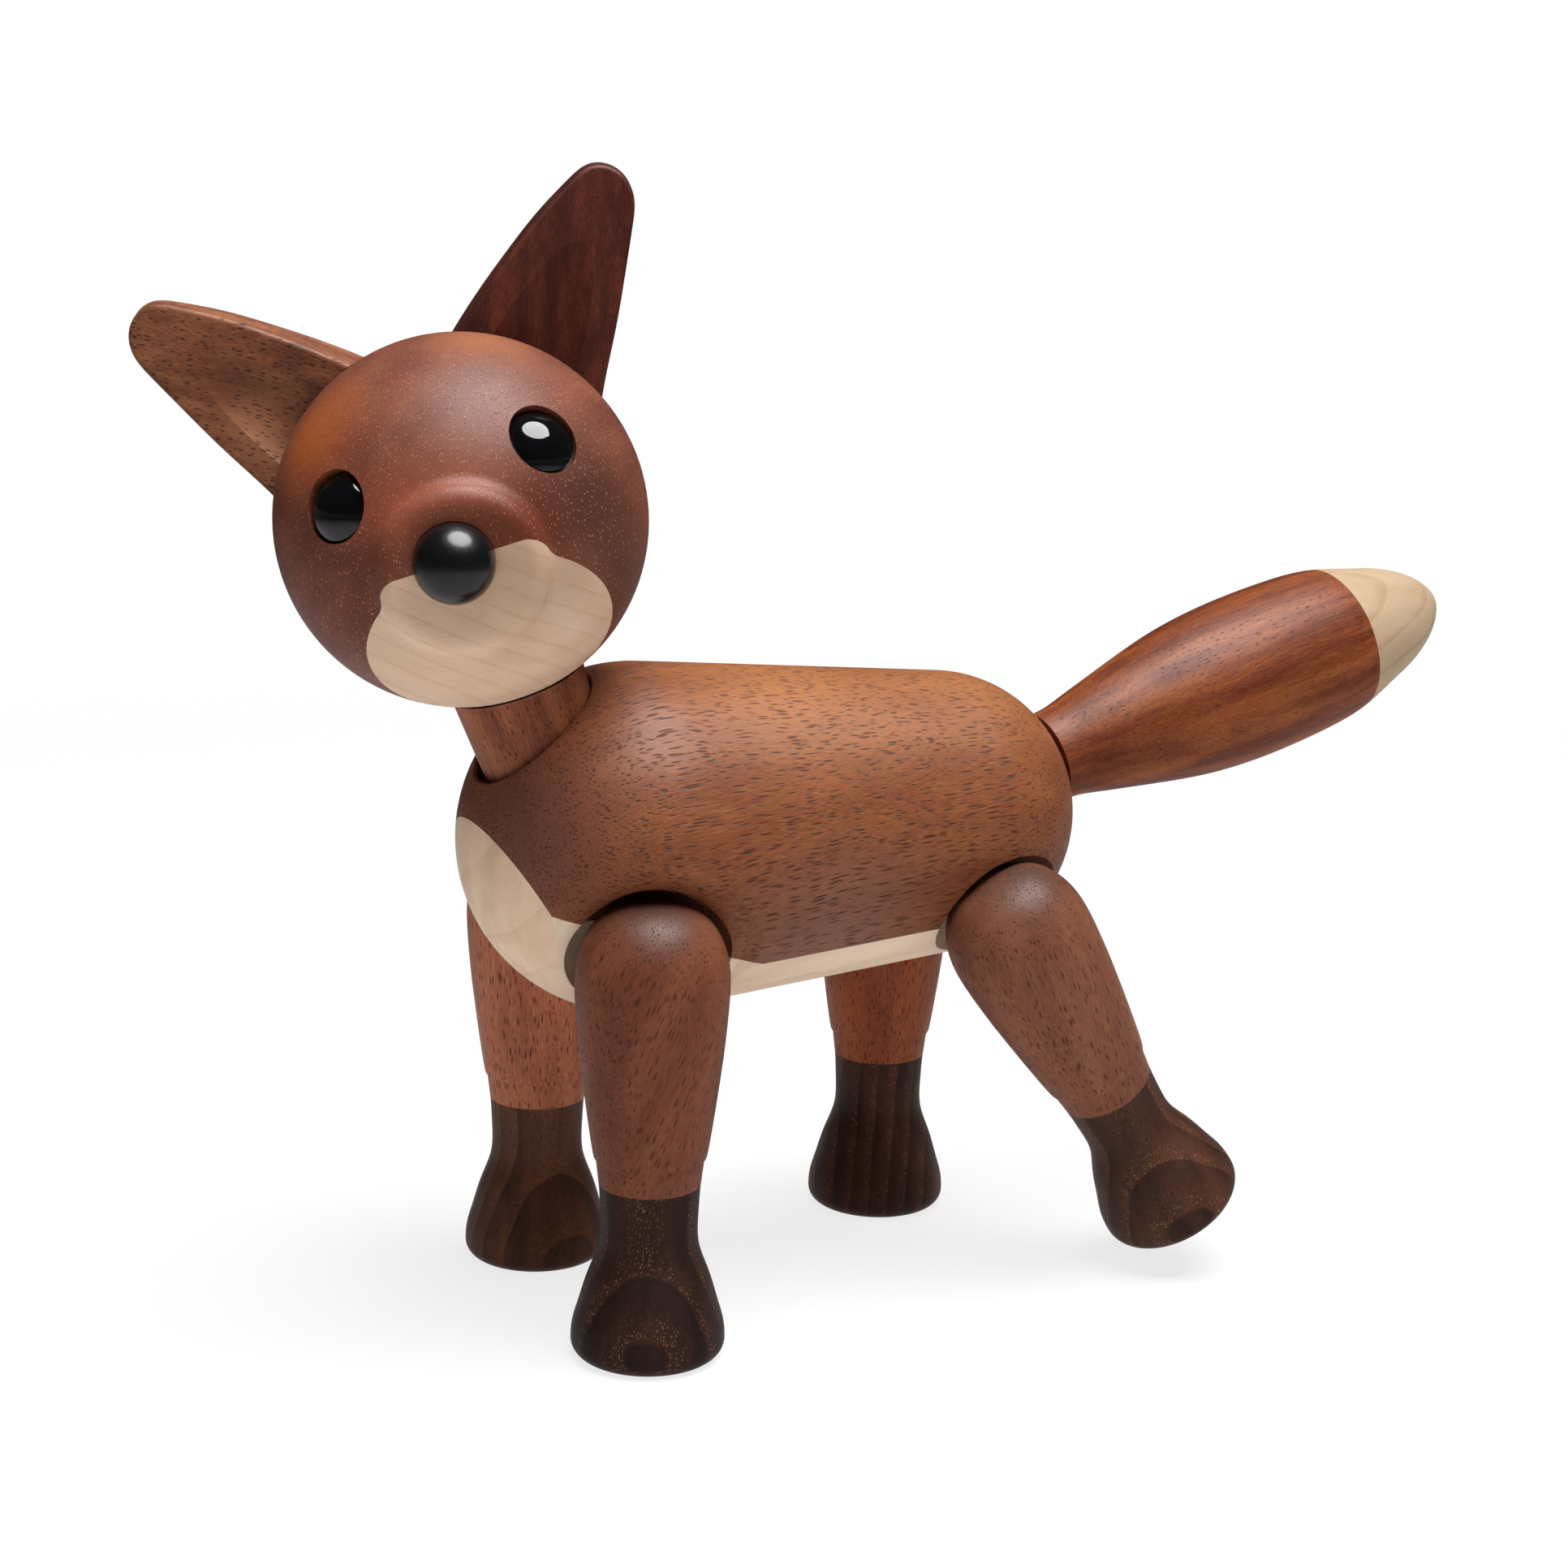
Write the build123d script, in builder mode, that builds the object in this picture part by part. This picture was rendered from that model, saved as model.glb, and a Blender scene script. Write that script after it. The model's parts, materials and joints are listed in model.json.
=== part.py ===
# An articulated fox figurine of turned and glued hardwood, built from separate pieces.
# Millimetres, +Z up, nose towards -Y, the fox's left side towards +X.
# The origin is on the ground, below the middle of the whole figure's box.
import os
from math import acos, asin, atan2, cos, radians, sin, sqrt, tan

from build123d import *

os.makedirs("parts", exist_ok=True)

# Clearances and rounding.
running_gap = 0.05
joint_gap = 0.3
glue_line = 0.1
ring_grip = 0.02

# Stance: where the hips are.
hip_height = 63.57
hip_spacing = 69.9
hip_track = 49.7
lifted_leg_swing = -33.5

# Legs: one turned outline, as shares of the hip height below the hip and of the widest radius.
leg_radius = 12.7
leg_crown = 13.3
leg_upper_shares = [
    (-0.156, 0.744), (-0.074, 0.953), (0.016, 0.994), (0.101, 0.969), (0.253, 0.888), (0.455, 0.727),
]
leg_seam_share = 0.535
leg_seam_radius_share = 0.663
leg_seam_slope = 0.12
foot_shares = [(0.605, 0.640), (0.703, 0.654), (0.782, 0.794), (0.870, 0.929)]
foot_rim_radius = 12.8
foot_edge_round = 2.85
hip_dowel_radius = 4.0
hip_dowel_in_body = 8.2
foot_dowel_radius = 3.0
foot_dowel_length = 18.0

# Body: two balls joined by their common cone, on an axis above the hips.
chest_ball_radius = 29.76
rump_ball_radius = 25.17
chest_ahead = 28.0
rump_behind = 30.21
body_axis_rise = 18.35
pocket_radius = 15.0
pocket_flare_radius = 4.0
pocket_flare_mouth = 16.0
pocket_flare_lean = 30.0
pocket_flare_turn = 15.5

# Pale chest piece and pale belly piece: the corners of their joints, seen from the side,
# as distances behind the hips' middle and above the body's axis.
bib_top = (-57.55, 5.6)
bib_corner = (-50.05, -7.5)
bib_foot = (-46.25, -22.4)
belly_corner = (-13.75, -18.1)
belly_rear = (14.75, -16.2)

# Neck: a short tapered post, glued into a round hole that is bored along its own axis.
neck_lean = 20.0
neck_top_radius = 11.2
neck_foot_radius = 10.25
neck_foot_reach = 43.0
neck_hole_radius = 11.25
neck_hole_round = 0.5
neck_spigot_radius = 7.0
neck_spigot_length = 9.0
neck_tenon_radius = 5.0
neck_tenon_length = 19.0

# Head: a ball with a flat-faced snout, cut obliquely for the pale muzzle.
head_radius = 30.0
head_ahead_of_chest = 30.5
head_above_chest = 54.44
head_turn = 68.2
snout_radius = 13.5
snout_reach = 30.1
snout_drop = 1.0
snout_edge_round = 3.2
snout_root_round = 3.0
muzzle_cut_reach = 22.8
muzzle_cut_dip = 38.6
muzzle_dowel_radius = 3.0
muzzle_dowel_length = 7.0

# Nose: a black ball let into the snout.
nose_radius = 6.25
nose_reach = 31.2
nose_rise = 1.25
nose_side = -0.6
nose_dowel_radius = 1.6
nose_dowel_length = 10.5

# Eyes: domed black buttons in round sockets, bored a little upwards and to the front.
eye_left_angle = 41.0
eye_right_angle = 36.0
eye_rise_angle = 26.0
socket_left_angle = 39.5
socket_right_angle = 33.0
socket_rise_angle = 32.0
socket_radius = 5.7
socket_depth = 2.6
eye_radius = 5.2
eye_edge = 1.35
eye_dome = 2.2
eye_shank_radius = 1.5
eye_shank_length = 6.0

# Ears: outline seen from the front of the head, as distances from the head's middle,
# from the inner root over the tip to the outer root.
ear_inner = [(4.6, 24.4), (7.9, 27.3), (13.3, 31.7), (19.7, 36.4), (26.9, 41.2), (32.6, 44.3)]
ear_tip = (37.1, 45.7)
ear_far_corner = (40.9, 43.5)
ear_outer = [(42.0, 39.3), (40.5, 35.1), (37.3, 28.9), (33.5, 21.75), (28.6, 13.35), (26.6, 9.6)]
ear_axis_angle = 42.5
ear_back = 16.5
ear_front_at_root = 4.5
ear_root_reach = 27.0
ear_front_lean = 12.7
ear_edge_round = 0.8
ear_scoop_radius = 12.0
ear_scoop_top = 47.5
ear_scoop_lean = 7.5
ear_dowel_radius = 1.5
ear_dowel_length = 12.0
ear_dowel_in_ear = 6.0
ear_dowel_back = 11.5

# Tail: a straight turned piece, as shares of its length from the root's middle and of its radius.
tail_rise = 16.5
tail_root_lift = 1.05
tail_length = 114.4
tail_radius = 15.36
tail_root_reach = 25.8
tail_root_radius = 8.3
tail_shares = [(0.275, 0.599), (0.370, 0.762), (0.477, 0.924), (0.590, 0.996), (0.694, 0.990)]
tail_seam_share = 0.79
tail_seam_radius = 14.02
tail_seam_slope = 0.24
tail_tip_shares = [(0.860, 0.755), (0.903, 0.651), (0.9375, 0.527), (0.966, 0.384), (0.988, 0.221)]
tail_dowel_radius = 4.5
tail_dowel_in_tail = 14.0
tail_dowel_in_body = 14.0
tip_dowel_radius = 3.0
tip_dowel_length = 18.0

# Friction rings: small rubber rings in grooves of the dowels that turn.
ring_thickness = 1.5


def frame_vector(forward, left, up):
    # A direction in the head's own frame: forward along the nose, to its left, and up the neck.
    lean = radians(neck_lean)
    turn = radians(head_turn)
    ahead = Vector(0, -cos(lean), -sin(lean))
    side = Vector(1, 0, 0)
    nose_way = ahead * cos(turn) + side * sin(turn)
    left_way = side * cos(turn) - ahead * sin(turn)
    up_way = Vector(0, -sin(lean), cos(lean))
    return nose_way * forward + left_way * left + up_way * up


def around(side_angle, rise_angle):
    # A unit direction in the head's frame from its angles to the left and upwards.
    level = cos(radians(rise_angle))
    forward = level * cos(radians(side_angle))
    left = level * sin(radians(side_angle))
    return frame_vector(forward, left, sin(radians(rise_angle)))


# Middle of the figure: halfway between the far edge of the forward ear and the tail's tip.
neck_way = Vector(0, -sin(radians(neck_lean)), cos(radians(neck_lean)))
ear_far_reach = (
    ear_outer[0][0] * sin(radians(ear_axis_angle)) + ear_outer[0][1] * cos(radians(ear_axis_angle))
)
ear_far_depth = ear_front_at_root + tan(radians(ear_front_lean)) * (ear_far_reach - ear_root_reach)
ear_far_way = frame_vector(-ear_far_depth, -ear_outer[0][0], ear_outer[0][1])
front_reach = chest_ahead + head_ahead_of_chest - ear_far_way.Y
rear_reach = rump_behind + tail_length * cos(radians(tail_rise))
hip_middle = (front_reach - rear_reach) / 2

# Places that the pieces share.
body_axis_height = hip_height + body_axis_rise
chest_middle = Vector(0, hip_middle - chest_ahead, body_axis_height)
rump_middle = Vector(0, hip_middle + rump_behind, body_axis_height)
head_middle = chest_middle + Vector(0, -head_ahead_of_chest, head_above_chest)
front_hip = hip_middle - hip_spacing / 2
hind_hip = hip_middle + hip_spacing / 2
hip_side = hip_track / 2
pocket_floor = hip_side - leg_radius - joint_gap
tail_way = Vector(0, cos(radians(tail_rise)), sin(radians(tail_rise)))
tail_root = rump_middle + Vector(0, 0, tail_root_lift)
nose_way = frame_vector(1, 0, 0)
left_way = frame_vector(0, 1, 0)
up_way = frame_vector(0, 0, 1)
side_plane = Plane(origin=(0, hip_middle, body_axis_height), x_dir=(0, 1, 0), z_dir=(1, 0, 0))
muzzle_way = frame_vector(cos(radians(muzzle_cut_dip)), 0, -sin(radians(muzzle_cut_dip)))
muzzle_seat = head_middle + muzzle_way * muzzle_cut_reach
nose_middle = head_middle + frame_vector(nose_reach, nose_side, nose_rise)

# Body form: the two balls and their common cone, with the pockets, seats and bores cut in.
body_length = chest_ahead + rump_behind
body_taper = asin((chest_ball_radius - rump_ball_radius) / body_length)
with BuildPart() as body_form:
    with BuildSketch(side_plane):
        with BuildLine():
            chest_tangent = (
                -chest_ahead + chest_ball_radius * sin(body_taper),
                chest_ball_radius * cos(body_taper),
            )
            rump_tangent = (
                rump_behind + rump_ball_radius * sin(body_taper),
                rump_ball_radius * cos(body_taper),
            )
            front_pole = (-chest_ahead - chest_ball_radius, 0)
            rear_pole = (rump_behind + rump_ball_radius, 0)
            RadiusArc(front_pole, chest_tangent, chest_ball_radius)
            Line(chest_tangent, rump_tangent)
            RadiusArc(rump_tangent, rear_pole, rump_ball_radius)
            Line(rear_pole, front_pole)
        make_face()
    revolve(axis=Axis(chest_middle, (0, 1, 0)))

    # Hollow pockets for the tops of the legs, cut to a ball about each hip.
    for side in (-1, 1):
        for station in (front_hip, hind_hip):
            with Locations((side * hip_side, station, hip_height)):
                Sphere(pocket_radius, mode=Mode.SUBTRACT)

        # The front pockets' mouths are rounded over towards the chest ball's surface.
        flare_way = Vector(
            side * cos(radians(pocket_flare_lean)) * cos(radians(pocket_flare_turn)),
            -cos(radians(pocket_flare_lean)) * sin(radians(pocket_flare_turn)),
            -sin(radians(pocket_flare_lean)),
        )
        flare_plane = Plane(
            origin=chest_middle, x_dir=flare_way.cross(Vector(0, 0, 1)), z_dir=flare_way
        )
        flare_profile = Plane(
            origin=chest_middle, x_dir=flare_plane.x_dir, z_dir=flare_plane.x_dir.cross(flare_way)
        )
        mouth_height = sqrt(chest_ball_radius**2 - pocket_flare_mouth**2)
        round_share = (chest_ball_radius - pocket_flare_radius) / chest_ball_radius
        round_side = pocket_flare_mouth * round_share
        round_height = mouth_height * round_share
        with BuildSketch(flare_profile):
            with BuildLine():
                throat = (round_side - pocket_flare_radius, round_height)
                mouth = (pocket_flare_mouth, mouth_height)
                Line((0, round_height), throat)
                RadiusArc(throat, mouth, pocket_flare_radius)
                Line(mouth, (chest_ball_radius, mouth_height))
                Line((chest_ball_radius, mouth_height), (chest_ball_radius, 2 * mouth_height))
                Line((chest_ball_radius, 2 * mouth_height), (0, 2 * mouth_height))
                Line((0, 2 * mouth_height), (0, round_height))
            make_face()
        revolve(axis=Axis(chest_middle, flare_way), mode=Mode.SUBTRACT)

    # The neck's hole with a narrower bore below it, both along the neck's axis.
    neck_floor = Plane(
        origin=head_middle - neck_way * neck_foot_reach, x_dir=(1, 0, 0), z_dir=neck_way
    )
    with BuildSketch(neck_floor):
        Circle(neck_hole_radius)
    extrude(amount=chest_ball_radius, mode=Mode.SUBTRACT)
    with BuildSketch(neck_floor):
        Circle(neck_spigot_radius + glue_line)
    extrude(amount=-(neck_spigot_length + glue_line), mode=Mode.SUBTRACT)

    # The bore for the tail's dowel, in the rump.
    tail_bore_plane = Plane(origin=tail_root, x_dir=(1, 0, 0), z_dir=tail_way)
    tail_bore_floor = rump_ball_radius - tail_dowel_in_body - joint_gap
    with BuildSketch(tail_bore_plane.offset(tail_bore_floor)):
        Circle(tail_dowel_radius + running_gap)
    extrude(amount=rump_ball_radius, mode=Mode.SUBTRACT)

    # The bores for the hip dowels.
    for side in (-1, 1):
        for station in (front_hip, hind_hip):
            bore_plane = Plane(
                origin=(side * pocket_floor, station, hip_height),
                x_dir=(0, 1, 0),
                z_dir=(-side, 0, 0),
            )
            with BuildSketch(bore_plane):
                Circle(hip_dowel_radius + running_gap)
            extrude(amount=hip_dowel_in_body + joint_gap, mode=Mode.SUBTRACT)

# Lines of the pale pieces' joints, run on past the body's surface.
far = 2 * chest_ball_radius
bib_top_way = Vector(bib_top[0] - bib_corner[0], bib_top[1] - bib_corner[1]).normalized()
bib_top_far = (bib_corner[0] + far * bib_top_way.X, bib_corner[1] + far * bib_top_way.Y)
bib_foot_way = Vector(bib_foot[0] - bib_corner[0], bib_foot[1] - bib_corner[1]).normalized()
bib_foot_far = (bib_corner[0] + far * bib_foot_way.X, bib_corner[1] + far * bib_foot_way.Y)
belly_way = Vector(belly_rear[0] - belly_corner[0], belly_rear[1] - belly_corner[1]).normalized()
belly_far = (belly_corner[0] + 2 * far * belly_way.X, belly_corner[1] + 2 * far * belly_way.Y)
bib_edge = [bib_corner, bib_top_far, (bib_top_far[0] - far, bib_top_far[1]),
            (bib_foot_far[0] - far, bib_foot_far[1]), bib_foot_far]
belly_edge = [bib_corner, bib_foot_far, (belly_far[0], bib_foot_far[1]), belly_far, belly_corner]

with BuildPart() as chest_bib:
    add(body_form.part)
    with BuildSketch(side_plane):
        with BuildLine():
            Polyline(*bib_edge, close=True)
        make_face()
    extrude(amount=far, both=True, mode=Mode.INTERSECT)

with BuildPart() as belly_plate:
    add(body_form.part)
    with BuildSketch(side_plane):
        with BuildLine():
            Polyline(*belly_edge, close=True)
        make_face()
    extrude(amount=far, both=True, mode=Mode.INTERSECT)

with BuildPart() as body_block:
    add(body_form.part)
    with BuildSketch(side_plane):
        with BuildLine():
            Polyline(*bib_edge, close=True)
        make_face()
    extrude(amount=far, both=True, mode=Mode.SUBTRACT)
    with BuildSketch(side_plane):
        with BuildLine():
            Polyline(*belly_edge, close=True)
        make_face()
    extrude(amount=far, both=True, mode=Mode.SUBTRACT)
    neck_rim = body_block.edges().filter_by(GeomType.BSPLINE).sort_by_distance(
        chest_middle + neck_way * chest_ball_radius
    )[0]
    fillet(neck_rim, neck_hole_round)

chest_bib.part.label = "chest_bib"
export_step(chest_bib.part, "parts/chest_bib.step")
belly_plate.part.label = "belly_plate"
export_step(belly_plate.part, "parts/belly_plate.step")
body_block.part.label = "body_block"
export_step(body_block.part, "parts/body_block.step")

# Neck: dished top for the head, a tenon up into the head, and a spigot down into the body.
neck_axis = Axis(head_middle, neck_way)
neck_plane = Plane(
    origin=head_middle, x_dir=(1, 0, 0), z_dir=(0, -cos(radians(neck_lean)), -sin(radians(neck_lean)))
)
dish_radius = head_radius + joint_gap
dish_inner = -sqrt(dish_radius**2 - neck_tenon_radius**2)
dish_outer = -sqrt(dish_radius**2 - neck_top_radius**2)
tenon_top = -(head_radius - neck_tenon_length)
neck_ring_station = -(head_radius - neck_tenon_length / 2)
spigot_end = -(neck_foot_reach + neck_spigot_length)
groove_radius = ring_thickness * (1 + ring_grip) / 2
with BuildPart() as neck:
    with BuildSketch(neck_plane):
        with BuildLine():
            Line((0, tenon_top), (neck_tenon_radius, tenon_top))
            Line((neck_tenon_radius, tenon_top), (neck_tenon_radius, dish_inner))
            RadiusArc(
                (neck_tenon_radius, dish_inner), (neck_top_radius, dish_outer), -dish_radius
            )
            Polyline(
                (neck_top_radius, dish_outer),
                (neck_foot_radius, -neck_foot_reach),
                (neck_spigot_radius, -neck_foot_reach),
                (neck_spigot_radius, spigot_end),
                (0, spigot_end),
                (0, tenon_top),
            )
        make_face()
        with Locations((neck_tenon_radius, neck_ring_station)):
            Rectangle(2 * ring_thickness, 2 * groove_radius, mode=Mode.SUBTRACT)
    revolve(axis=neck_axis)
neck.part.label = "neck"
export_step(neck.part, "parts/neck.step")

# The ring on the neck's tenon grips the bore in the head.
with BuildPart() as neck_top_ring:
    with BuildSketch(neck_plane):
        with Locations((neck_tenon_radius + ring_grip - ring_thickness / 2, neck_ring_station)):
            Circle(ring_thickness / 2)
    revolve(axis=neck_axis)
neck_top_ring.part.label = "neck_top_ring"
export_step(neck_top_ring.part, "parts/neck_top_ring.step")

# Head form: ball and snout in one, with every socket and bore cut in.
with BuildPart() as head_form:
    back_section = Plane(origin=head_middle, x_dir=-nose_way, z_dir=-nose_way.cross(up_way))
    with BuildSketch(back_section):
        with BuildLine():
            RadiusArc((0, head_radius), (0, -head_radius), head_radius)
            Line((0, -head_radius), (0, head_radius))
        make_face()
    revolve(axis=Axis(head_middle, up_way))
    snout_way = (nose_way * snout_reach - up_way * snout_drop).normalized()
    snout_up = (up_way - snout_way * up_way.dot(snout_way)).normalized()
    snout_section = Plane(origin=head_middle, x_dir=snout_up, z_dir=snout_up.cross(snout_way))
    edge_middle = Vector(snout_radius - snout_edge_round, snout_reach - snout_edge_round)
    root_reach = head_radius + snout_root_round
    rounds = snout_edge_round + snout_root_round
    edge_reach = edge_middle.length
    root_turn = atan2(edge_middle.X, edge_middle.Y) + acos(
        (edge_reach**2 + root_reach**2 - rounds**2) / (2 * edge_reach * root_reach)
    )
    root_middle = Vector(root_reach * sin(root_turn), root_reach * cos(root_turn))
    edge_end = edge_middle + (root_middle - edge_middle) * (snout_edge_round / rounds)
    root_end = root_middle * (head_radius / root_reach)
    with BuildSketch(snout_section):
        with BuildLine():
            Line((0, 0), (0, snout_reach))
            Line((0, snout_reach), (edge_middle.X, snout_reach))
            RadiusArc((edge_middle.X, snout_reach), edge_end, snout_edge_round)
            RadiusArc(edge_end, root_end, -snout_root_round)
            Line(root_end, (0, 0))
        make_face()
    revolve(axis=Axis(head_middle, snout_way))

    # The bore for the neck's tenon.
    tenon_floor = head_middle - neck_way * (head_radius - neck_tenon_length - joint_gap)
    with BuildSketch(Plane(origin=tenon_floor, x_dir=(1, 0, 0), z_dir=-neck_way)):
        Circle(neck_tenon_radius + running_gap)
    extrude(amount=head_radius, mode=Mode.SUBTRACT)

    # Socket and dowel bore for the nose.
    with Locations(nose_middle):
        Sphere(nose_radius + glue_line, mode=Mode.SUBTRACT)
    nose_bore = Plane(
        origin=nose_middle - nose_way * nose_dowel_length, x_dir=left_way, z_dir=nose_way
    )
    with BuildSketch(nose_bore):
        Circle(nose_dowel_radius)
    extrude(amount=nose_dowel_length, mode=Mode.SUBTRACT)

    # Bore for the muzzle's dowel, square to the oblique joint.
    muzzle_plane = Plane(origin=muzzle_seat, x_dir=left_way, z_dir=muzzle_way)
    with BuildSketch(muzzle_plane):
        with Locations((0, -muzzle_dowel_radius)):
            Circle(muzzle_dowel_radius)
    extrude(amount=muzzle_dowel_length / 2, both=True, mode=Mode.SUBTRACT)

    # Eye sockets with a bore for each shank.
    for side, eye_angle, socket_angle in (
        (1, eye_left_angle, socket_left_angle),
        (-1, eye_right_angle, socket_right_angle),
    ):
        eye_place = head_middle + around(side * eye_angle, eye_rise_angle) * head_radius
        socket_way = around(side * socket_angle, socket_rise_angle)
        socket_plane = Plane(
            origin=eye_place - socket_way * socket_depth, x_dir=up_way, z_dir=socket_way
        )
        with BuildSketch(socket_plane):
            Circle(socket_radius)
        extrude(amount=head_radius / 2, mode=Mode.SUBTRACT)
        with BuildSketch(socket_plane):
            Circle(eye_shank_radius)
        extrude(amount=-eye_shank_length, mode=Mode.SUBTRACT)

    # Bores for the ears' dowels.
    for side in (-1, 1):
        ear_way = frame_vector(
            0, side * sin(radians(ear_axis_angle)), cos(radians(ear_axis_angle))
        )
        ear_bore = Plane(
            origin=head_middle - nose_way * ear_dowel_back
            + ear_way * (head_radius - ear_dowel_length),
            x_dir=nose_way,
            z_dir=ear_way,
        )
        with BuildSketch(ear_bore):
            Circle(ear_dowel_radius)
        extrude(amount=ear_dowel_length + ear_dowel_in_ear, mode=Mode.SUBTRACT)

with BuildPart() as head_ball:
    add(head_form.part)
    with BuildSketch(muzzle_plane):
        Circle(2 * head_radius)
    extrude(amount=2 * head_radius, mode=Mode.SUBTRACT)
head_ball.part.label = "head_ball"
export_step(head_ball.part, "parts/head_ball.step")

with BuildPart() as muzzle:
    add(head_form.part)
    with BuildSketch(muzzle_plane):
        Circle(2 * head_radius)
    extrude(amount=2 * head_radius, mode=Mode.INTERSECT)
muzzle.part.label = "muzzle"
export_step(muzzle.part, "parts/muzzle.step")

with BuildPart() as muzzle_dowel:
    with BuildSketch(muzzle_plane):
        with Locations((0, -muzzle_dowel_radius)):
            Circle(muzzle_dowel_radius)
    extrude(amount=muzzle_dowel_length / 2, both=True)
muzzle_dowel.part.label = "muzzle_dowel"
export_step(muzzle_dowel.part, "parts/muzzle_dowel.step")

# Nose with a short bore for its dowel.
with BuildPart() as nose:
    with Locations(nose_middle):
        Sphere(nose_radius)
    with BuildSketch(Plane(origin=nose_middle, x_dir=left_way, z_dir=-nose_way)):
        Circle(nose_dowel_radius)
    extrude(amount=2 * nose_radius, mode=Mode.SUBTRACT)
nose.part.label = "nose"
export_step(nose.part, "parts/nose.step")

with BuildPart() as nose_dowel:
    with BuildSketch(Plane(origin=nose_middle, x_dir=left_way, z_dir=-nose_way)):
        Circle(nose_dowel_radius)
    extrude(amount=nose_dowel_length)
nose_dowel.part.label = "nose_dowel"
export_step(nose_dowel.part, "parts/nose_dowel.step")

# Eyes: a domed button with a shank, one in each socket.
eye_curve = (eye_radius**2 + eye_dome**2) / (2 * eye_dome)
for name, side, eye_angle, socket_angle in (
    ("left", 1, eye_left_angle, socket_left_angle),
    ("right", -1, eye_right_angle, socket_right_angle),
):
    eye_place = head_middle + around(side * eye_angle, eye_rise_angle) * head_radius
    socket_way = around(side * socket_angle, socket_rise_angle)
    across = up_way.cross(socket_way).normalized()
    eye_section = Plane(
        origin=eye_place - socket_way * socket_depth, x_dir=across, z_dir=across.cross(socket_way)
    )
    with BuildPart() as eye:
        with BuildSketch(eye_section):
            with BuildLine():
                Line((0, -eye_shank_length), (eye_shank_radius, -eye_shank_length))
                Line((eye_shank_radius, -eye_shank_length), (eye_shank_radius, 0))
                Line((eye_shank_radius, 0), (eye_radius, 0))
                Line((eye_radius, 0), (eye_radius, eye_edge))
                RadiusArc((eye_radius, eye_edge), (0, eye_edge + eye_dome), -eye_curve)
                Line((0, eye_edge + eye_dome), (0, -eye_shank_length))
            make_face()
        revolve(axis=Axis(eye_place, socket_way))
    eye.part.label = "eye_" + name
    export_step(eye.part, "parts/eye_" + name + ".step")

# Ears: a leaf with a leaning front, scooped from the middle down, hollowed to the head's ball.
lean_slope = tan(radians(ear_front_lean))
scoop_angle = radians(ear_scoop_lean - ear_front_lean)
for name, side in (("left", 1), ("right", -1)):
    ear_way = frame_vector(0, side * sin(radians(ear_axis_angle)), cos(radians(ear_axis_angle)))
    ear_plane = Plane(
        origin=head_middle - nose_way * ear_back, x_dir=left_way * side, z_dir=nose_way * side
    )
    ear_section = Plane(origin=head_middle, x_dir=ear_way, z_dir=ear_way.cross(nose_way))
    with BuildPart() as ear:
        with BuildSketch(ear_plane):
            with BuildLine():
                Spline(*ear_inner, ear_tip, ear_far_corner, *ear_outer)
                Line(ear_outer[-1], ear_inner[0])
            make_face()
        extrude(amount=side * ear_back)
        with BuildSketch(ear_section):
            with BuildLine():
                Polyline(
                    (0, ear_back),
                    (0, -ear_front_at_root + lean_slope * ear_root_reach),
                    (2 * head_radius, -ear_front_at_root
                     - lean_slope * (2 * head_radius - ear_root_reach)),
                    (2 * head_radius, ear_back),
                    close=True,
                )
            make_face()
        extrude(amount=2 * head_radius, both=True, mode=Mode.SUBTRACT)
        leaf_wall = ear.faces().filter_by(GeomType.BSPLINE) + ear.faces().filter_by(
            GeomType.EXTRUSION
        )
        leaf_edges = leaf_wall[0].edges().filter_by(GeomType.LINE, reverse=True)
        fillet(leaf_edges, ear_edge_round)
        # The root is hollowed to the head's ball and the front is scooped.
        with Locations(head_middle):
            Sphere(head_radius + glue_line, mode=Mode.SUBTRACT)
        scoop_start = (
            head_middle + ear_way * ear_scoop_top
            - nose_way * (ear_front_at_root + lean_slope * (ear_scoop_top - ear_root_reach))
        )
        scoop_way = -ear_way * cos(scoop_angle) - nose_way * sin(scoop_angle)
        scoop_lift = ear_way * -sin(scoop_angle) + nose_way * cos(scoop_angle)
        scoop_plane = Plane(
            origin=scoop_start + scoop_lift * ear_scoop_radius - scoop_way * head_radius,
            x_dir=scoop_way.cross(nose_way),
            z_dir=scoop_way,
        )
        with BuildSketch(scoop_plane):
            Circle(ear_scoop_radius)
        extrude(amount=3 * head_radius, mode=Mode.SUBTRACT)
        ear_bore = Plane(
            origin=head_middle - nose_way * ear_dowel_back
            + ear_way * (head_radius - ear_dowel_length),
            x_dir=nose_way,
            z_dir=ear_way,
        )
        with BuildSketch(ear_bore):
            Circle(ear_dowel_radius)
        extrude(amount=ear_dowel_length + ear_dowel_in_ear, mode=Mode.SUBTRACT)
    ear.part.label = "ear_" + name
    export_step(ear.part, "parts/ear_" + name + ".step")

    with BuildPart() as ear_dowel:
        with BuildSketch(ear_bore):
            Circle(ear_dowel_radius)
        extrude(amount=ear_dowel_length + ear_dowel_in_ear)
    ear_dowel.part.label = "ear_dowel_" + name
    export_step(ear_dowel.part, "parts/ear_dowel_" + name + ".step")

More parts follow.
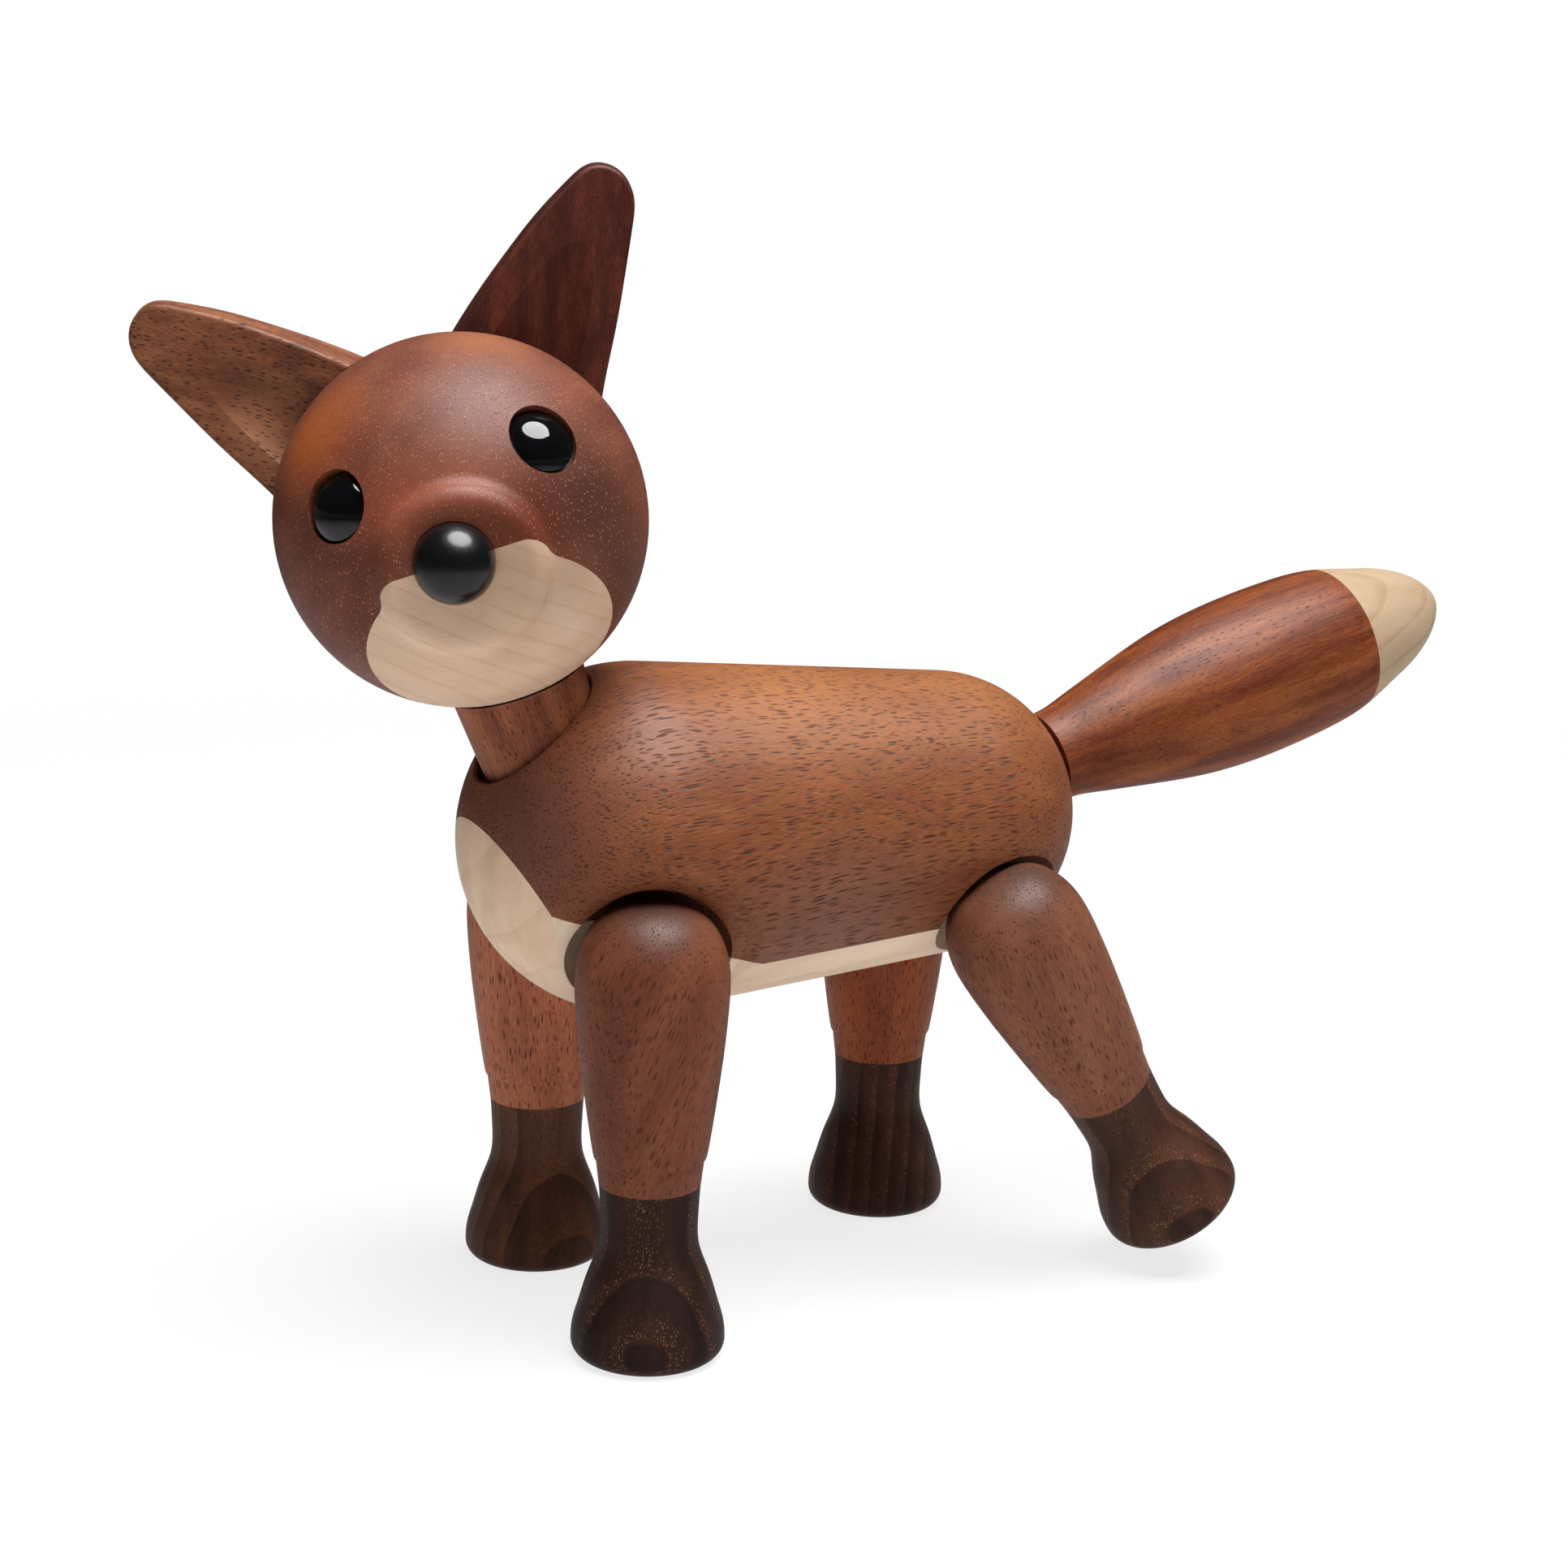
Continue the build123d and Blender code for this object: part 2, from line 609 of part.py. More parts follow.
# Legs: each a turned upper with a turned dark foot, on a dowel that turns in the body.
leg_seam = hip_height * leg_seam_share
for name, side, station, swing in (
    ("front_left", 1, front_hip, 0),
    ("front_right", -1, front_hip, 0),
    ("hind_left", 1, hind_hip, lifted_leg_swing),
    ("hind_right", -1, hind_hip, 0),
):
    hip = Vector(side * hip_side, station, hip_height)
    leg_up = Vector(0, sin(radians(swing)), cos(radians(swing)))
    leg_axis = Axis(hip, leg_up)
    leg_plane = Plane(origin=hip, x_dir=(-side, 0, 0), z_dir=Vector(-side, 0, 0).cross(leg_up))
    leg_points = [
        (leg_radius * radius_share, -hip_height * height_share)
        for height_share, radius_share in leg_upper_shares
    ]
    seam_point = (leg_radius * leg_seam_radius_share, -leg_seam)
    foot_points = [
        (leg_radius * radius_share, -hip_height * height_share)
        for height_share, radius_share in foot_shares
    ]
    rim_point = (foot_rim_radius, -hip_height + foot_edge_round)
    sole_point = (foot_rim_radius - foot_edge_round, -hip_height)

    with BuildPart() as leg:
        with BuildSketch(leg_plane):
            with BuildLine():
                Spline(
                    (0, leg_crown), *leg_points, seam_point,
                    tangents=[(1, 0), (-leg_seam_slope, -1)],
                )
                Line(seam_point, (0, -leg_seam))
                Line((0, -leg_seam), (0, leg_crown))
            make_face()
        revolve(axis=leg_axis)
        with BuildSketch(Plane(origin=hip, x_dir=(0, 1, 0), z_dir=(-side, 0, 0))):
            Circle(hip_dowel_radius)
        extrude(amount=hip_track, mode=Mode.SUBTRACT)
        with BuildSketch(Plane(origin=hip - leg_up * leg_seam, x_dir=(1, 0, 0), z_dir=leg_up)):
            Circle(foot_dowel_radius)
        extrude(amount=foot_dowel_length / 2, mode=Mode.SUBTRACT)
    leg.part.label = "leg_" + name
    export_step(leg.part, "parts/leg_" + name + ".step")

    with BuildPart() as foot:
        with BuildSketch(leg_plane):
            with BuildLine():
                Spline(
                    seam_point, *foot_points, rim_point,
                    tangents=[(-leg_seam_slope, -1), (0, -1)],
                )
                RadiusArc(rim_point, sole_point, foot_edge_round)
                Line(sole_point, (0, -hip_height))
                Line((0, -hip_height), (0, -leg_seam))
                Line((0, -leg_seam), seam_point)
            make_face()
        revolve(axis=leg_axis)
        with BuildSketch(Plane(origin=hip - leg_up * leg_seam, x_dir=(1, 0, 0), z_dir=leg_up)):
            Circle(foot_dowel_radius)
        extrude(amount=-foot_dowel_length / 2, mode=Mode.SUBTRACT)
    foot.part.label = "foot_" + name
    export_step(foot.part, "parts/foot_" + name + ".step")

    with BuildPart() as foot_dowel:
        with BuildSketch(Plane(origin=hip - leg_up * leg_seam, x_dir=(1, 0, 0), z_dir=leg_up)):
            Circle(foot_dowel_radius)
        extrude(amount=foot_dowel_length / 2, both=True)
    foot_dowel.part.label = "foot_dowel_" + name
    export_step(foot_dowel.part, "parts/foot_dowel_" + name + ".step")

    dowel_axis = Axis(hip, (-side, 0, 0))
    dowel_section = Plane(origin=hip, x_dir=(0, 0, 1), z_dir=(0, -side, 0))
    dowel_inner_end = hip_side - pocket_floor + hip_dowel_in_body
    hip_ring_station = hip_side - pocket_floor + hip_dowel_in_body / 2
    with BuildPart() as hip_dowel:
        with BuildSketch(dowel_section):
            with BuildLine():
                Polyline(
                    (0, 0),
                    (hip_dowel_radius, 0),
                    (hip_dowel_radius, dowel_inner_end),
                    (0, dowel_inner_end),
                    close=True,
                )
            make_face()
            with Locations((hip_dowel_radius, hip_ring_station)):
                Rectangle(2 * ring_thickness, 2 * groove_radius, mode=Mode.SUBTRACT)
        revolve(axis=dowel_axis)
    hip_dowel.part.label = "hip_dowel_" + name
    export_step(hip_dowel.part, "parts/hip_dowel_" + name + ".step")

    with BuildPart() as hip_ring:
        with BuildSketch(dowel_section):
            with Locations(
                (hip_dowel_radius + ring_grip - ring_thickness / 2, hip_ring_station)
            ):
                Circle(ring_thickness / 2)
        revolve(axis=dowel_axis)
    hip_ring.part.label = "hip_ring_" + name
    export_step(hip_ring.part, "parts/hip_ring_" + name + ".step")

# Tail: hollowed to the rump's ball at its root, with a pale tip let on at the far end.
tail_axis = Axis(tail_root, tail_way)
tail_section = Plane(origin=tail_root, x_dir=(1, 0, 0), z_dir=Vector(1, 0, 0).cross(tail_way))
tail_seam = tail_length * tail_seam_share
tail_points = [
    (tail_radius * radius_share, tail_length * reach_share)
    for reach_share, radius_share in tail_shares
]
tail_root_side = sqrt(tail_root_reach**2 - tail_root_radius**2)
tail_floor = rump_ball_radius - tail_dowel_in_body
with BuildPart() as tail:
    with BuildSketch(tail_section):
        with BuildLine():
            Line((0, tail_root_reach), (0, tail_seam))
            Line((0, tail_seam), (tail_seam_radius, tail_seam))
            Spline(
                (tail_seam_radius, tail_seam), *reversed(tail_points),
                (tail_root_radius, tail_root_side),
                tangents=[(tail_seam_slope, -1), (0, -1)],
            )
            RadiusArc(
                (tail_root_radius, tail_root_side), (0, tail_root_reach), tail_root_reach
            )
        make_face()
    revolve(axis=tail_axis)
    with BuildSketch(Plane(origin=tail_root, x_dir=(1, 0, 0), z_dir=tail_way)):
        Circle(tail_dowel_radius)
    extrude(amount=tail_root_reach + tail_dowel_in_tail, mode=Mode.SUBTRACT)
    with BuildSketch(Plane(origin=tail_root + tail_way * tail_seam, x_dir=(1, 0, 0),
                           z_dir=-tail_way)):
        Circle(tip_dowel_radius)
    extrude(amount=tip_dowel_length / 2, mode=Mode.SUBTRACT)
tail.part.label = "tail"
export_step(tail.part, "parts/tail.step")

with BuildPart() as tail_tip:
    tip_points = [
        (tail_radius * radius_share, tail_length * reach_share)
        for reach_share, radius_share in tail_tip_shares
    ]
    with BuildSketch(tail_section):
        with BuildLine():
            Line((0, tail_length), (0, tail_seam))
            Line((0, tail_seam), (tail_seam_radius, tail_seam))
            Spline(
                (tail_seam_radius, tail_seam), *tip_points, (0, tail_length),
                tangents=[(-tail_seam_slope, 1), (-1, 0)],
            )
        make_face()
    revolve(axis=tail_axis)
    with BuildSketch(Plane(origin=tail_root + tail_way * tail_seam, x_dir=(1, 0, 0),
                           z_dir=tail_way)):
        Circle(tip_dowel_radius)
    extrude(amount=tip_dowel_length / 2, mode=Mode.SUBTRACT)
tail_tip.part.label = "tail_tip"
export_step(tail_tip.part, "parts/tail_tip.step")

with BuildPart() as tip_dowel:
    with BuildSketch(Plane(origin=tail_root + tail_way * tail_seam, x_dir=(1, 0, 0),
                           z_dir=tail_way)):
        Circle(tip_dowel_radius)
    extrude(amount=tip_dowel_length / 2, both=True)
tip_dowel.part.label = "tip_dowel"
export_step(tip_dowel.part, "parts/tip_dowel.step")

tail_ring_station = rump_ball_radius - tail_dowel_in_body / 2
with BuildPart() as tail_dowel:
    with BuildSketch(tail_section):
        with BuildLine():
            Polyline(
                (0, tail_floor),
                (tail_dowel_radius, tail_floor),
                (tail_dowel_radius, tail_root_reach + tail_dowel_in_tail),
                (0, tail_root_reach + tail_dowel_in_tail),
                close=True,
            )
        make_face()
        with Locations((tail_dowel_radius, tail_ring_station)):
            Rectangle(2 * ring_thickness, 2 * groove_radius, mode=Mode.SUBTRACT)
    revolve(axis=tail_axis)
tail_dowel.part.label = "tail_dowel"
export_step(tail_dowel.part, "parts/tail_dowel.step")

with BuildPart() as tail_ring:
    with BuildSketch(tail_section):
        with Locations((tail_dowel_radius + ring_grip - ring_thickness / 2, tail_ring_station)):
            Circle(ring_thickness / 2)
    revolve(axis=tail_axis)
tail_ring.part.label = "tail_ring"
export_step(tail_ring.part, "parts/tail_ring.step")
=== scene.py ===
import json
from math import radians

import bpy
from mathutils import Euler, Matrix, Vector

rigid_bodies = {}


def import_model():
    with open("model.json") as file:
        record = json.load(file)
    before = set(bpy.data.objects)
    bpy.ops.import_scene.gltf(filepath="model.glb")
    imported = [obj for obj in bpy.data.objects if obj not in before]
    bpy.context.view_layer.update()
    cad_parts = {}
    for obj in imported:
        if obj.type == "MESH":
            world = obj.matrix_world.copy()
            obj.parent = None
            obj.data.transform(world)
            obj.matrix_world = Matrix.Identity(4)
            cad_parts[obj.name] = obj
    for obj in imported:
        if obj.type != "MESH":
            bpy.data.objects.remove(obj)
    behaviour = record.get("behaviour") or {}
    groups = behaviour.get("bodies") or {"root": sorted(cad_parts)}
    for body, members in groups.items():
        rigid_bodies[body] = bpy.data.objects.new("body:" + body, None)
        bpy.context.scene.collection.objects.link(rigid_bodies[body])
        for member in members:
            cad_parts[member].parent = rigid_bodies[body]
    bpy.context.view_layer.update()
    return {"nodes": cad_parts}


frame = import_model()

for imported in bpy.context.scene.objects:
    imported.select_set(False)
nodes = frame["nodes"]

# Camera: a long lens on the fox's left, a little ahead of it and just above its back. It
# looks slightly down and is rolled by a degree or so, as in the photograph.
camera_place = (0.42372, -0.232525, 0.18712)
looks_down, heading, roll = 11.67, 63.04, 1.39
camera = bpy.data.objects.new("camera", bpy.data.cameras.new("camera"))
bpy.context.collection.objects.link(camera)
camera_turn = Euler((radians(90 - looks_down), 0, radians(heading))).to_matrix().to_4x4()
camera.matrix_world = (
    Matrix.Translation(camera_place)
    @ camera_turn
    @ Matrix.Rotation(radians(roll), 4, "Z")
)
camera.data.lens = 64.29
camera.data.sensor_width = 36
camera.data.clip_start = 0.01
bpy.context.scene.camera = camera
bpy.context.scene.view_settings.view_transform = "Standard"


# Studio: a white table under one big soft lamp, nearly overhead. Seen directly the table and
# the room are plain white. In mirrored rays both are dark but for the table close by, so that
# the eyes and the nose stay black.
class Wire:
    """A socket of a shader node. Arithmetic on it adds Math nodes."""

    def __init__(self, tree, socket=None):
        self.tree = tree
        self.socket = socket

    def make(self, kind, settings=None, *values, out=0, **named):
        node = self.tree.nodes.new("ShaderNode" + kind)
        for setting, value in (settings or {}).items():
            if setting == "stops":
                while len(node.color_ramp.elements) < len(value):
                    node.color_ramp.elements.new(1)
                for stop, (place, colour) in zip(node.color_ramp.elements, value):
                    stop.position = place
                    stop.color = (*colour, 1)
            else:
                setattr(node, setting, value)
        for socket, value in [*enumerate(values), *named.items()]:
            if isinstance(socket, str):
                socket = socket.replace("_", " ")
            if isinstance(value, Wire):
                self.tree.links.new(value.socket, node.inputs[socket])
            elif value is not None:
                node.inputs[socket].default_value = value
        return Wire(self.tree, node.outputs[out])

    def math(self, operation, *values):
        return self.make("Math", {"operation": operation}, *values)

    def vector(self, operation, *values):
        out = 1 if operation in ("DOT_PRODUCT", "LENGTH", "DISTANCE") else 0
        return self.make("VectorMath", {"operation": operation}, *values, out=out)

    def ease(self, start, end, low=0.0, high=1.0):
        """Goes smoothly from low to high as the value goes from start to end."""
        settings = {"interpolation_type": "SMOOTHSTEP"}
        return self.make("MapRange", settings, self, start, end, low, high)

    def blend(self, other, factor):
        """This colour turned towards another. The sockets left out are not for colours."""
        return self.make("Mix", {"data_type": "RGBA"}, factor, *[None] * 5, self, other, out=2)

    def ramp(self, stops):
        return self.make("ValToRGB", {"stops": stops}, self)

    def __add__(self, other):
        return self.math("ADD", self, other)

    def __radd__(self, other):
        return self.math("ADD", other, self)

    def __sub__(self, other):
        return self.math("SUBTRACT", self, other)

    def __rsub__(self, other):
        return self.math("SUBTRACT", other, self)

    def __mul__(self, other):
        return self.math("MULTIPLY", self, other)

    def __rmul__(self, other):
        return self.math("MULTIPLY", other, self)

    def __truediv__(self, other):
        return self.math("DIVIDE", self, other)

    def __rtruediv__(self, other):
        return self.math("DIVIDE", other, self)


world = bpy.data.worlds.new("studio")
bpy.context.scene.world = world
world.use_nodes = True
room = Wire(world.node_tree)
direction = room.make("TexCoord", out=3)
height = room.make("SeparateXYZ", None, direction, out=2)
seen_direct = room.make("LightPath", out=0)
seen_through = room.make("LightPath", out=6)
mirrored = room.make("LightPath", out=3)
mirrored_wall = height.ease(-0.02, 0.05, 0.10, 0.02)
room_light = 0.10
brightness = seen_direct + seen_through + mirrored * mirrored_wall
unseen = 1 - seen_direct - seen_through - mirrored
background = world.node_tree.nodes["Background"]
background.inputs["Color"].default_value = (1, 1, 1, 1)
world.node_tree.links.new(
    (brightness + unseen * room_light).socket, background.inputs["Strength"]
)

table_radius = 4
bpy.ops.mesh.primitive_circle_add(
    vertices=96, radius=table_radius, fill_type="NGON", location=(0, 0, 0)
)
table = bpy.context.object
table.name = "table"
table_material = bpy.data.materials.new("table_white")
table_material.use_nodes = True
table.data.materials.append(table_material)
top = Wire(table_material.node_tree)
mirror_ray = top.make("LightPath", out=3)
seen = top.make("LightPath", out=0) + top.make("LightPath", out=6)
table_reach = top.vector("LENGTH", top.make("TexCoord", out=3))
clear_of_shadow = table_reach.ease(0.25, 0.7)
white = (1, 1, 1, 1)
white_glow = top.make("Emission", None, white, 1.0)
shadow_floor = top.make(
    "AddShader", None,
    top.make("BsdfDiffuse", None, (0.20, 0.20, 0.20, 1)),
    top.make("Emission", None, white, 0.79),
)
plain_floor = top.make("BsdfDiffuse", None, (0.85, 0.85, 0.85, 1))
seen_floor = top.make("MixShader", None, clear_of_shadow, shadow_floor, white_glow)
lit_or_seen = top.make("MixShader", None, seen, plain_floor, seen_floor)
mirrored_floor = top.make(
    "MixShader", None, table_reach.ease(0.1, 0.9),
    top.make("Emission", None, white, 0.72), top.make("Emission", None, white, 0.06),
)
table_shader = top.make("MixShader", None, mirror_ray, lit_or_seen, mirrored_floor)
table_material.node_tree.links.new(
    table_shader.socket,
    table_material.node_tree.nodes["Material Output"].inputs["Surface"],
)

# The second lamp stands in the same place and adds to the shine alone, not to the colours.
lamp_way = Vector((0.207, 0.072, 0.973))
lamp_aim = Vector((0, 0, 0.1))
lamp_distance = 0.95
lamp_width = 0.86
for name, energy, lights_colour in (("soft_lamp", 19.0, True), ("lamp_shine", 42.0, False)):
    lamp = bpy.data.objects.new(name, bpy.data.lights.new(name, "AREA"))
    bpy.context.collection.objects.link(lamp)
    lamp.data.shape = "DISK"
    lamp.data.size = lamp_width
    lamp.data.energy = energy
    lamp.visible_diffuse = lights_colour
    lamp.matrix_world = (
        Matrix.Translation(lamp_aim + lamp_way * lamp_distance)
        @ lamp_way.to_track_quat("Z", "Y").to_matrix().to_4x4()
    )


# Body block: mahogany turned between two centres, its grain along the back. The cut rises
# and falls through the interlocked grain, so the open pores show as rows of dark dashes.
mm = 0.001
wood_shine = 0.11
pore_depth = 0.04 * mm
pore_colour = (0.030, 0.0095, 0.007, 1)
fleck_colour = (0.72, 0.36, 0.17, 1)


def finish(name, shown, made, **constants):
    """Puts a material on the CAD nodes shown, from a function that makes its wires."""
    material = bpy.data.materials.new(name)
    material.use_nodes = True
    links = material.node_tree.links
    shader = material.node_tree.nodes["Principled BSDF"]
    start = Wire(material.node_tree)
    colour, roughness, height = made(start)
    links.new(colour.socket, shader.inputs["Base Color"])
    links.new(roughness.socket, shader.inputs["Roughness"])
    relief = start.make("Bump", None, Distance=pore_depth, Height=height)
    links.new(relief.socket, shader.inputs["Normal"])
    for socket, value in constants.items():
        shader.inputs[socket.replace("_", " ")].default_value = value
    for node in shown:
        for slot in nodes[node].material_slots:
            slot.material = material


def in_wood(wire, middle, grain, side=(0, 0, 1), shift=(0, 0, 0)):
    """Place in millimetres from the piece's middle, with X along the wood's grain."""
    grain = Vector(grain).normalized()
    across = Vector(side).cross(grain).normalized()
    axes = Matrix((grain, across, grain.cross(across))).transposed()
    middle = Vector(middle) - axes @ Vector(shift) * mm
    return wire.make(
        "Mapping", {"vector_type": "TEXTURE"}, wire.make("TexCoord", out=3),
        middle, axes.to_euler(), (mm, mm, mm),
    )


def cells(at, along, across):
    """The same place, shrunk so that one unit is a cell of that length and width."""
    return at.vector("MULTIPLY", at, (1 / along, 1 / across, 1 / across))


def cloud(at, along, across, detail=2.0, roughness=0.5):
    """Soft random tone from 0 to 1 in cells of that length and width in millimetres."""
    return at.make(
        "TexNoise", None, cells(at, along, across),
        Scale=1.0, Detail=detail, Roughness=roughness,
    )


def swayed(at, every, amount):
    """The same place with the grain swaying sideways, once in so many millimetres."""
    drift = at.make("TexNoise", None, cells(at, every, every * 0.6), Scale=1.0, Detail=1.0, out=1)
    drift = at.vector("SUBTRACT", drift, (0.5, 0.5, 0.5))
    return at.vector("ADD", at, at.vector("MULTIPLY", drift, (0, amount, amount)))


def dashes(at, length, width, share):
    """1 in slim dashes along the grain, as pores and rays are, and 0 between them."""
    place = cells(at, length * 2, width * 2)
    near = at.make("TexVoronoi", None, place, Scale=1.0, Randomness=1.0)
    chance = at.make("TexVoronoi", None, place, Scale=1.0, Randomness=1.0, out=1)
    size = at.make("SeparateColor", None, chance) * 0.7 + 0.5
    return (near / size).ease(share * 0.55, share * 1.25, 1.0, 0.0)


def spot(wire, place, size):
    """1 at a place on the piece, fading to 0 at so many millimetres from it."""
    here = wire.make("TexCoord", out=3)
    return wire.vector("DISTANCE", here, place).ease(0.0, size * mm, 1.0, 0.0)


def mahogany(
    middle, grain, shift, tones, side=(0, 0, 1), pore=(1.0, 0.3), share=0.30,
    ribbon=(34, 5), ribbon_amount=0.5, sway=1.6, fleck=None, painted_light_and_shade=(),
):
    """Colour, roughness and relief of one mahogany piece, from its dark and light tones."""

    def made(wire):
        straight = in_wood(wire, middle, grain, side, shift)
        at = swayed(straight, 22, sway)
        broad = cloud(at, *ribbon, detail=3.0)
        fine = cloud(at, 5.0, 0.22, detail=2.0)
        fibre = cloud(at, 1.6, 0.10, detail=1.0)
        tone = (
            broad.ease(0.25, 0.75) * ribbon_amount
            + (0.5 - ribbon_amount / 2)
            + (fine - 0.5) * 0.80
            + (fibre - 0.5) * 0.55
        )
        colour = tone.ramp(tones)
        # Patches of painted light and painted shade, laid over the wood's own tones at given
        # places.
        for place, size, tint, strength in painted_light_and_shade:
            colour = colour.blend((*tint, 1), spot(wire, place, size) * strength)
        hollow = dashes(at, *pore, share)
        colour = colour.blend(pore_colour, hollow * 0.75)
        relief = fibre * 0.25 - hollow
        if fleck:
            fleck_way, fleck_share, fleck_mask = fleck
            flecks = in_wood(wire, middle, fleck_way, side=(1, 0, 0.2), shift=shift)
            bright = dashes(flecks, 0.46, 0.17, fleck_share)
            if fleck_mask:
                bright = bright * fleck_mask(wire)
            colour = colour.blend(fleck_colour, bright * 0.62)
        gloss = 0.46 + (fine - 0.5) * 0.12 + hollow * 0.2
        return colour, gloss, relief

    return made


body_tones = [
    (0.15, (0.116, 0.032, 0.014)),
    (0.45, (0.192, 0.059, 0.024)),
    (0.80, (0.303, 0.107, 0.038)),
]
body_middle = (0, -0.0165, 0.0819)
body_grain = (0, 1, 0.06)
finish(
    "mahogany_body", ["body_block"],
    mahogany(
        body_middle, body_grain, (3, 0, 0), body_tones,
        pore=(2.2, 0.21), share=0.36, ribbon=(30, 6), ribbon_amount=0.2, sway=2.2,
        # Painted light: the two orange patches along the top of the back and the pale one low on
        # the left side. Painted shade: the dark patches on the front of the chest and by the
        # neck.
        painted_light_and_shade=[
            ((0.010, -0.020, 0.116), 34, (0.46, 0.19, 0.062), 0.5),
            ((0.006, 0.015, 0.110), 30, (0.46, 0.19, 0.062), 0.4),
            ((0.016, -0.076, 0.090), 26, (0.130, 0.053, 0.044), 0.85),
            ((0.026, -0.020, 0.063), 30, (0.215, 0.108, 0.078), 0.7),
            ((0.0, -0.062, 0.108), 16, (0.080, 0.035, 0.028), 0.6),
        ],
    ),
    Specular_IOR_Level=wood_shine,
)


# Chest bib and belly plate: one pale board of maple, let on below the block and turned
# with it, so its faint growth rings sweep over the breast.
ray_colour = (0.36, 0.235, 0.145, 1)


def maple(
    middle, grain, shift, tones, side=(0, 0, 1), pith=(0, 40), spacing=3.3, line=0.5, sway=2.5,
    painted_light_and_shade=(),
):
    """Colour, roughness and relief of a maple piece with growth rings about its pith."""

    def made(wire):
        at = swayed(in_wood(wire, middle, grain, side, shift), 30, sway)
        from_pith = at.vector("SUBTRACT", at, (0, *pith))
        ring = at.vector("LENGTH", at.vector("MULTIPLY", from_pith, (0, 1, 1))) / spacing
        ring = ring.math("FRACT", ring)
        late = ring.ease(0.70, 0.96) * ring.ease(0.96, 1.0, 1.0, 0.0)
        broad = cloud(at, 26, 5, detail=2.0)
        fine = cloud(at, 7.0, 0.28, detail=3.0, roughness=0.6)
        tone = 0.5 + (broad - 0.5) * 0.7 + (fine - 0.5) * 0.35 - late * line
        colour = tone.ramp(tones)
        # Patches of painted light and painted shade, laid over the wood's own tones at given
        # places.
        for place, size, tint, strength in painted_light_and_shade:
            colour = colour.blend((*tint, 1), spot(wire, place, size) * strength)
        rays = dashes(at, 0.9, 0.16, 0.22)
        colour = colour.blend(ray_colour, rays * 0.25)
        gloss = 0.50 + (fine - 0.5) * 0.10
        return colour, gloss, fine * 0.4 - rays * 0.5

    return made


def shaded(tones, red, green, blue):
    """The same tones made lighter or darker by a factor for each colour."""
    return [(place, (tone[0] * red, tone[1] * green, tone[2] * blue)) for place, tone in tones]


maple_tones = [
    (0.0, (0.470, 0.310, 0.190)),
    (0.45, (0.640, 0.470, 0.320)),
    (0.85, (0.740, 0.590, 0.430)),
]
finish(
    "maple_bib", ["chest_bib"],
    maple((0, -0.072, 0.070), (0, 0.35, 1), (0, 0, 0), shaded(maple_tones, 1.18, 1.15, 1.15),
          side=(0, 1, 0), pith=(10, 42), spacing=7.0, line=0.14),
    Specular_IOR_Level=wood_shine,
)
finish(
    "maple_belly", ["belly_plate"],
    maple((0, -0.02, 0.060), (0, 1, 0.05), (0, 0, 0), shaded(maple_tones, 1.18, 1.22, 1.30),
          pith=(18, 40), spacing=4.5, line=0.12),
    Specular_IOR_Level=wood_shine,
)

# Neck: a short tapered mahogany post, turned with the grain along it. It is glued in a hole
# bored in the chest, and its tenon carries the head.
neck_way = (0, -0.342, 0.940)
dark_tones = [
    (0.15, (0.125, 0.035, 0.021)),
    (0.45, (0.226, 0.069, 0.033)),
    (0.85, (0.384, 0.131, 0.054)),
]
finish(
    "mahogany_neck", ["neck"],
    mahogany(
        (0, -0.062, 0.112), neck_way, (0, 5, 9), dark_tones, side=(1, 0, 0),
        pore=(0.9, 0.26), share=0.26,
    ),
    Specular_IOR_Level=wood_shine,
)

# Head ball: mahogany turned with the grain towards the nose, so the face is end grain,
# with short golden flecks. Its reddish glows are painted light and its dark patches painted
# shade.
head_middle = Vector((0, -0.076135, 0.13636))
nose_way = Vector((0.928486, -0.348972, -0.127015))
left_way = Vector((0.371368, 0.872491, 0.317561))
up_way = Vector((0, -0.34202, 0.93969))


def on_head(forward, left, up):
    """A place given in millimetres forward, left and up of the head's middle."""
    return head_middle + (nose_way * forward + left_way * left + up_way * up) * 0.001


head_tones = [
    (0.15, (0.099, 0.028, 0.019)),
    (0.50, (0.158, 0.047, 0.027)),
    (0.85, (0.230, 0.075, 0.040)),
]
finish(
    "mahogany_head", ["head_ball"],
    mahogany(
        head_middle, nose_way * 0.9 + up_way * 0.3, (0, 30, 11), head_tones, side=left_way,
        pore=(0.5, 0.17), share=0.20, ribbon=(40, 9), ribbon_amount=0.45, sway=2.0,
        fleck=(up_way + left_way * 0.25, 0.20, None),
        # Painted light: reddish and orange glows above the nose, on the upper right of the head
        # and on its crown, and a pale patch on the right cheek. Painted shade: dark patches
        # beside the nose, on the forehead and on the left side, toward the body.
        painted_light_and_shade=[
            (on_head(27.7, 4.1, 10.8), 13, (0.27, 0.078, 0.040), 0.8),
            (on_head(27.5, 11.5, 3.5), 13, (0.120, 0.019, 0.008), 0.85),
            (on_head(19.0, 8.0, 21.0), 13, (0.150, 0.048, 0.030), 0.5),
            (on_head(19.0, -16.0, -17.0), 13, (0.200, 0.100, 0.085), 0.6),
            (on_head(20.0, 22.0, 2.0), 17, (0.055, 0.020, 0.014), 0.8),
            (on_head(17.0, 24.0, -9.0), 15, (0.080, 0.032, 0.022), 0.6),
            (on_head(26.9, -7.3, 11.0), 11, (0.34, 0.085, 0.042), 0.6),
            (on_head(11.0, -17.0, 22.0), 15, (0.40, 0.095, 0.022), 0.8),
            (on_head(2.4, 11.9, 27.4), 14, (0.42, 0.150, 0.060), 0.5),
        ],
    ),
    Specular_IOR_Level=wood_shine,
)

